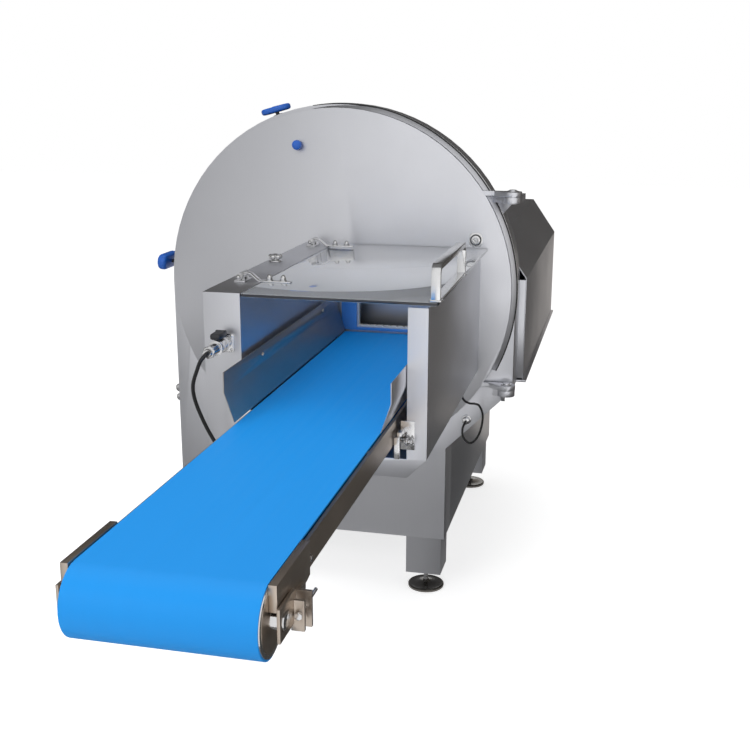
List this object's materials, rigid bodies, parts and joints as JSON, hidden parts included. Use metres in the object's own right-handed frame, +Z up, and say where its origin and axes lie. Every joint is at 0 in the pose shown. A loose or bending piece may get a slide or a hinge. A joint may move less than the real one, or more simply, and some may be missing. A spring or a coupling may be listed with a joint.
{
  "type": "meat slicer",
  "caption": "Floor-standing meat slicer: round blade housing on a cabinet with a hooded infeed, and a hinged door with a lidded guard and a narrow outfeed belt conveyor.",
  "frame": {"origin": "floor level under the middle of the machine's outline", "axes": "+X to the right seen from the conveyor end, +Y back along the conveyor towards the infeed, +Z up"},
  "size_m": [1.0875, 2.8716, 1.4642],
  "materials": {
    "belt_blue": "smooth blue urethane belt",
    "black_plastic": "black moulded plastic",
    "black_rubber": "black rubber, matt",
    "cast_iron_grey": "grey enamel over cast iron",
    "dark_side_steel": "bead-blasted stainless, darker seen from the side",
    "handle_blue": "moulded blue plastic, half gloss",
    "polished_steel": "polished stainless or chrome plate",
    "satin_steel": "satin ground stainless sheet",
    "smoked_sheet": "polished smoked plastic sheet",
    "white_plastic": "white machined plastic"
  },
  "bodies": {
    "base": {"blade_housing": "satin_steel", "back_plate": "satin_steel", "cabinet_shell": "dark_side_steel", "rear_panel": "dark_side_steel", "hinge_bracket_upper": "satin_steel", "hinge_bracket_lower": "satin_steel", "cable_gland": "polished_steel", "bearing_housing": "cast_iron_grey", "blade_motor": "cast_iron_grey", "drive_belt": "black_rubber", "infeed_trough": "satin_steel", "guide_rod_left": "polished_steel", "guide_rod_right": "polished_steel", "feed_motor": "cast_iron_grey"},
    "foot_front_left": {"foot_front_left": "polished_steel"},
    "foot_front_right": {"foot_front_right": "polished_steel"},
    "foot_rear_left": {"foot_rear_left": "polished_steel"},
    "foot_rear_right": {"foot_rear_right": "polished_steel"},
    "blade_group": {"blade": "polished_steel", "blade_shaft": "polished_steel", "blade_pulley": "cast_iron_grey"},
    "motor_pulley": {"motor_pulley": "cast_iron_grey"},
    "lead_screw": {"lead_screw": "polished_steel"},
    "pusher": {"pusher": "satin_steel"},
    "infeed_hood": {"infeed_hood": "dark_side_steel"},
    "latch_top": {"latch_top": "handle_blue"},
    "latch_left": {"latch_left": "handle_blue"},
    "door": {"door_panel": "satin_steel", "door_seal": "black_rubber", "window_frame": "white_plastic", "blue_strip": "belt_blue", "lid_stop": "handle_blue", "guard_frame": "dark_side_steel", "guide_left": "satin_steel", "guide_right": "satin_steel", "lock_sensor": "polished_steel", "socket": "polished_steel", "plug": "polished_steel", "cable_left": "black_rubber", "cable_right": "black_rubber", "belt": "belt_blue", "conveyor_frame": "dark_side_steel", "clamp_left": "polished_steel", "clamp_right": "polished_steel", "hinge_block_front": "polished_steel", "hinge_block_rear": "polished_steel", "front_shaft": "polished_steel", "takeup_left": "polished_steel", "takeup_right": "polished_steel"},
    "plug_lever": {"plug_lever": "black_plastic"},
    "lid_group": {"lid": "smoked_sheet", "lid_handle": "white_plastic", "hinge_strap_front": "polished_steel", "hinge_strap_rear": "polished_steel"},
    "strip_knob": {"strip_knob": "polished_steel"},
    "front_roller": {"front_roller": "polished_steel"},
    "snub_roller": {"snub_roller": "polished_steel"},
    "rear_roller": {"rear_roller": "polished_steel"},
    "tension_screw_left": {"tension_screw_left": "polished_steel"},
    "tension_screw_right": {"tension_screw_right": "polished_steel"}
  },
  "joints": [
    {"name": "foot_front_left_turn", "type": "hinge", "parent": "base", "child": "foot_front_left", "pos_m": [-0.30199, 0.32095, 0], "axis": [0, 0, 1], "continuous": true},
    {"name": "foot_front_right_turn", "type": "hinge", "parent": "base", "child": "foot_front_right", "pos_m": [0.26611, 0.32095, 0], "axis": [0, 0, 1], "continuous": true},
    {"name": "foot_rear_left_turn", "type": "hinge", "parent": "base", "child": "foot_rear_left", "pos_m": [-0.30199, 1.23465, 0], "axis": [0, 0, 1], "continuous": true},
    {"name": "foot_rear_right_turn", "type": "hinge", "parent": "base", "child": "foot_rear_right", "pos_m": [0.26611, 1.23465, 0], "axis": [0, 0, 1], "continuous": true},
    {"name": "blade_spin", "type": "hinge", "parent": "base", "child": "blade_group", "pos_m": [0.00716, 0.2478, 0.938], "axis": [0, 1, 0], "continuous": true},
    {"name": "motor_pulley_spin", "type": "hinge", "parent": "base", "child": "motor_pulley", "pos_m": [0.00716, 0.2478, 0.388], "axis": [0, 1, 0], "continuous": true},
    {"name": "pusher_feed", "type": "slide", "parent": "base", "child": "pusher", "axis": [0, -1, 0], "range_m": [0, 0.7]},
    {"name": "lead_screw_turn", "type": "hinge", "parent": "base", "child": "lead_screw", "pos_m": [0.21301, 0.3786, 1.033], "axis": [0, 1, 0], "range_deg": [0, 12601]},
    {"name": "hood_swing", "type": "hinge", "parent": "base", "child": "infeed_hood", "pos_m": [-0.22884, 0.3831, 0.6677], "axis": [0, -1, 0], "range_deg": [0, 80]},
    {"name": "latch_top_turn", "type": "hinge", "parent": "base", "child": "latch_top", "pos_m": [-0.17792, 0.3078, 1.4127], "axis": [-0.3633, 0, 0.9317], "range_deg": [0, 90]},
    {"name": "latch_left_turn", "type": "hinge", "parent": "base", "child": "latch_left", "pos_m": [-0.5004, 0.3078, 0.98241], "axis": [-0.9962, 0, 0.0872], "range_deg": [0, 90]},
    {"name": "door_swing", "type": "hinge", "parent": "base", "child": "door", "pos_m": [0.50246, 0.2398, 1.2078], "axis": [0, 0, 1], "range_deg": [0, 100]},
    {"name": "plug_lever_lift", "type": "hinge", "parent": "door", "child": "plug_lever", "pos_m": [-0.03384, -0.5622, 0.9784], "axis": [-1, 0, 0], "range_deg": [0, 60]},
    {"name": "lid_swing", "type": "hinge", "parent": "door", "child": "lid_group", "pos_m": [-0.04284, -0.3882, 1.078], "axis": [0, -1, 0], "range_deg": [0, 100]},
    {"name": "strip_knob_turn", "type": "hinge", "parent": "door", "child": "strip_knob", "pos_m": [-0.05884, -0.1022, 1.0648], "axis": [0, 0, 1], "continuous": true},
    {"name": "front_roller_spin", "type": "hinge", "parent": "door", "child": "front_roller", "pos_m": [0.19326, -1.3748, 0.7544], "axis": [1, 0, 0], "continuous": true},
    {"name": "snub_roller_spin", "type": "hinge", "parent": "door", "child": "snub_roller", "pos_m": [0.19326, -1.2822, 0.772], "axis": [1, 0, 0], "continuous": true},
    {"name": "rear_roller_spin", "type": "hinge", "parent": "door", "child": "rear_roller", "pos_m": [0.19326, 0.2183, 0.7969], "axis": [1, 0, 0], "continuous": true},
    {"name": "tension_screw_left_turn", "type": "hinge", "parent": "door", "child": "tension_screw_left", "pos_m": [0.00956, -1.3272, 0.744], "axis": [0, 1, 0], "continuous": true},
    {"name": "tension_screw_right_turn", "type": "hinge", "parent": "door", "child": "tension_screw_right", "pos_m": [0.37696, -1.3272, 0.744], "axis": [0, 1, 0], "continuous": true}
  ],
  "couplings": [
    {"joint": "motor_pulley_spin", "follows": "blade_spin", "ratio": 1.25},
    {"joint": "lead_screw_turn", "follows": "pusher_feed", "rad_per_m": 314.16},
    {"joint": "snub_roller_spin", "follows": "front_roller_spin", "ratio": -5.75},
    {"joint": "rear_roller_spin", "follows": "front_roller_spin", "ratio": 3.8333}
  ]
}
